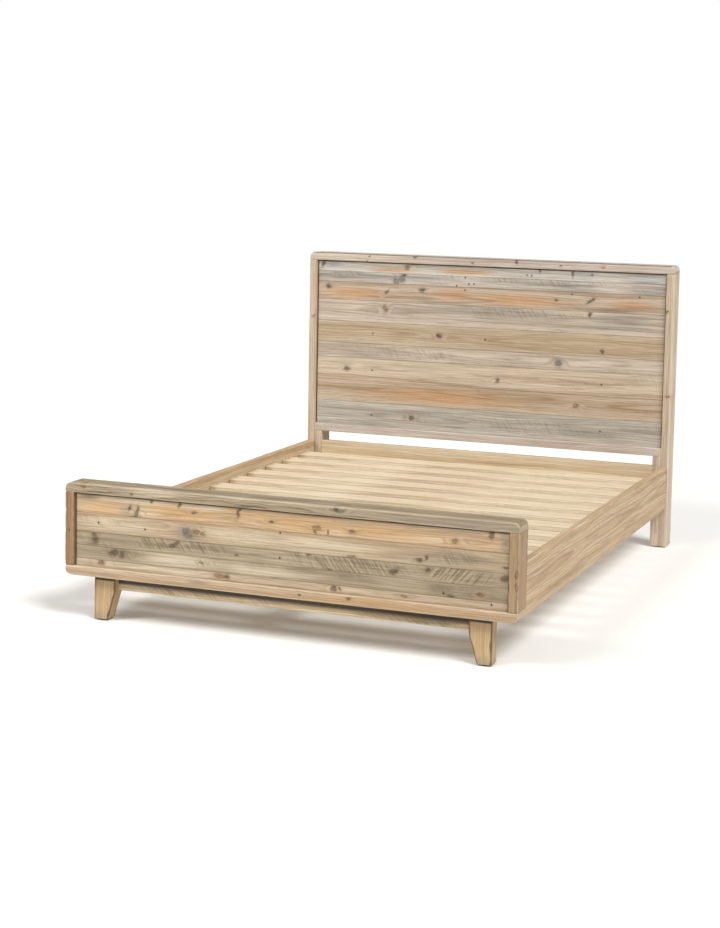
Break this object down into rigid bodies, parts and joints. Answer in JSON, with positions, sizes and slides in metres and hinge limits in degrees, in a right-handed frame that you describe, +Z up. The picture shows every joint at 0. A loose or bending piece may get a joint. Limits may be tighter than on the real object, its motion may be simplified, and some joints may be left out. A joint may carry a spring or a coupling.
{
  "type": "bed frame",
  "caption": "Reclaimed timber bed frame with a planked box-frame headboard and footboard, tapered front legs, side rails and a slatted mattress deck.",
  "frame": {"origin": "on the floor, at the centre of the footprint", "axes": "+X across the width, to the right as seen from the foot; +Y from the foot to the head; +Z up"},
  "size_m": [1.64, 2.234, 1.185],
  "materials": {
    "frame_timber": "pale tan reclaimed pine, oiled, worn arrises",
    "leg_timber": "tan to brown reclaimed pine",
    "panel_grey": "grey weathered pine with saw marks",
    "panel_orange": "warm orange-tan pine with knots",
    "panel_tan": "tan pine with nail holes",
    "plain_pine": "plain sawn pine",
    "zinc_steel": "zinc plated",
    "glide_plastic": "moulded black"
  },
  "bodies": {
    "frame": {"head_cap": "frame_timber", "head_post_left": "frame_timber", "head_post_right": "frame_timber", "foot_cap": "frame_timber", "foot_bottom_rail": "frame_timber", "foot_stile_left": "frame_timber", "foot_stile_right": "frame_timber", "head_lower_rail": "frame_timber", "side_rail_left": "frame_timber", "side_rail_right": "frame_timber", "foot_apron": "frame_timber", "head_leg_block_left": "leg_timber", "head_leg_block_right": "leg_timber", "foot_leg_left": "leg_timber", "foot_leg_right": "leg_timber", "head_plank_1": "panel_grey", "head_plank_2": "panel_grey", "head_plank_3": "panel_orange", "head_plank_4": "panel_grey", "head_plank_5": "panel_tan", "head_plank_6": "panel_grey", "head_plank_7": "panel_grey", "head_plank_8": "panel_orange", "head_plank_9": "panel_grey", "foot_plank_1": "panel_orange", "foot_plank_2": "panel_tan", "foot_plank_3": "panel_grey", "foot_plank_4": "panel_grey", "foot_plank_5": "panel_tan", "head_battens": "plain_pine", "head_stretcher": "plain_pine", "foot_battens": "plain_pine", "foot_corner_blocks": "plain_pine", "foot_stretcher": "plain_pine", "slat_ledger_left": "plain_pine", "slat_ledger_right": "plain_pine", "centre_beam": "plain_pine", "support_leg_head": "plain_pine", "support_leg_foot": "plain_pine", "slat_1": "plain_pine", "slat_2": "plain_pine", "slat_3": "plain_pine", "slat_4": "plain_pine", "slat_5": "plain_pine", "slat_6": "plain_pine", "slat_7": "plain_pine", "slat_8": "plain_pine", "slat_9": "plain_pine", "slat_10": "plain_pine", "slat_11": "plain_pine", "beam_hangers": "zinc_steel", "rail_brackets": "zinc_steel", "bracket_bolts": "zinc_steel", "wood_screws": "zinc_steel", "leveller_nuts": "zinc_steel", "floor_glides": "glide_plastic"},
    "leveller_pad_body_head": {"leveller_pad_head": "glide_plastic"},
    "leveller_stem_body_head": {"leveller_stem_head": "zinc_steel"},
    "leveller_pad_body_foot": {"leveller_pad_foot": "glide_plastic"},
    "leveller_stem_body_foot": {"leveller_stem_foot": "zinc_steel"}
  },
  "joints": [
    {"name": "leveller_lift_head", "type": "slide", "parent": "frame", "child": "leveller_pad_body_head", "axis": [0, 0, 1], "range_m": [-0.012, 0.008]},
    {"name": "leveller_turn_head", "type": "hinge", "parent": "leveller_pad_body_head", "child": "leveller_stem_body_head", "pos_m": [0, 0.38, 0.01], "axis": [0, 0, 1], "range_deg": [-2880, 1920]},
    {"name": "leveller_lift_foot", "type": "slide", "parent": "frame", "child": "leveller_pad_body_foot", "axis": [0, 0, 1], "range_m": [-0.012, 0.008]},
    {"name": "leveller_turn_foot", "type": "hinge", "parent": "leveller_pad_body_foot", "child": "leveller_stem_body_foot", "pos_m": [0, -0.38, 0.01], "axis": [0, 0, 1], "range_deg": [-2880, 1920]}
  ],
  "couplings": [
    {"joint": "leveller_turn_head", "follows": "leveller_lift_head", "rad_per_m": 4188.8},
    {"joint": "leveller_turn_foot", "follows": "leveller_lift_foot", "rad_per_m": 4188.8}
  ]
}
